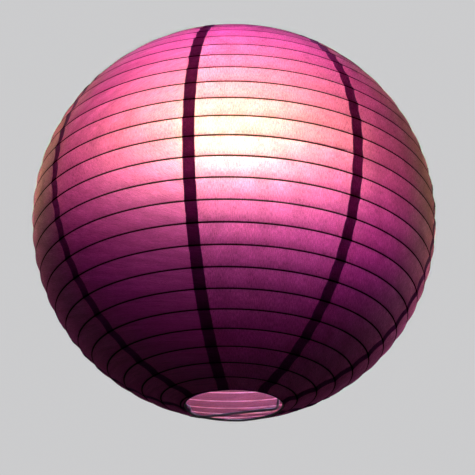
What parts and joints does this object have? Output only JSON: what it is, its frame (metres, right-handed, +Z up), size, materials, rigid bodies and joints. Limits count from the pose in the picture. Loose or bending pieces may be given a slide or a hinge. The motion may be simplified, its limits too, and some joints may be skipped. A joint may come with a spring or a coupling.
{
  "type": "paper lantern",
  "caption": "Round ribbed paper lantern with a wire stretcher and a hooked-in battery lamp.",
  "frame": {"origin": "inner top of the hanging loop, where a ceiling hook bears", "axes": "+Z up, -Y towards the front, +X to the right seen from the front"},
  "size_m": [0.4, 0.4, 0.4386],
  "materials": {
    "paper": "translucent tissue-thin rice paper",
    "steel_wire": "drawn steel wire",
    "rib_wire": "thin coated wire",
    "white_plastic": "fine moulded",
    "black_plastic": "moulded",
    "opal_plastic": "opal, lit from inside",
    "cell_wrap": "printed sleeve with no lettering",
    "contact_steel": "nickel plated",
    "circuit_board": "solder mask",
    "chip": "epoxy",
    "led_chip": "phosphor face, lit",
    "red_lead": "insulation",
    "black_lead": "insulation"
  },
  "bodies": {
    "shade": {"expander_frame": "steel_wire", "cross_wire": "steel_wire", "top_ring": "steel_wire", "rib_spiral": "rib_wire", "gore_1": "paper", "gore_2": "paper", "gore_3": "paper", "gore_4": "paper", "gore_5": "paper", "gore_6": "paper", "gore_7": "paper", "gore_8": "paper"},
    "bottom_ring": {"bottom_ring": "steel_wire"},
    "hook": {"lamp_hook": "steel_wire"},
    "cap": {"lamp_cap": "white_plastic"},
    "lamp": {"lamp_body": "white_plastic", "battery_cradle": "black_plastic", "cell_1": "cell_wrap", "cell_2": "cell_wrap", "cell_3": "cell_wrap", "spring_contacts": "contact_steel", "contact_plates": "contact_steel", "led_board": "circuit_board", "leds": "led_chip", "board_components": "chip", "diffuser_globe": "opal_plastic", "globe_collar": "white_plastic", "collar_screws": "contact_steel", "switch_base": "black_plastic", "lead_red": "red_lead", "lead_black": "black_lead"},
    "switch_knob": {"switch_knob": "black_plastic"}
  },
  "joints": [
    {"name": "shade_fold", "type": "slide", "parent": "shade", "child": "bottom_ring", "axis": [0, 0, 1], "range_m": [0, 0.335], "deforming": ["rib_spiral", "gore_1", "gore_2", "gore_3", "gore_4", "gore_5", "gore_6", "gore_7", "gore_8"]},
    {"name": "lamp_swing", "type": "hinge", "parent": "shade", "child": "hook", "pos_m": [0, 0, -0.044], "axis": [0.9397, -0.342, 0], "range_deg": [-15, 15]},
    {"name": "lamp_swivel", "type": "hinge", "parent": "hook", "child": "cap", "pos_m": [0, 0, -0.056], "axis": [0, 0, 1], "continuous": true},
    {"name": "battery_twist", "type": "hinge", "parent": "cap", "child": "lamp", "pos_m": [0, 0, -0.068], "axis": [0, 0, 1], "range_deg": [0, 30]},
    {"name": "switch_slide", "type": "slide", "parent": "lamp", "child": "switch_knob", "axis": [0, 0, 1], "range_m": [0, 0.0025]}
  ]
}
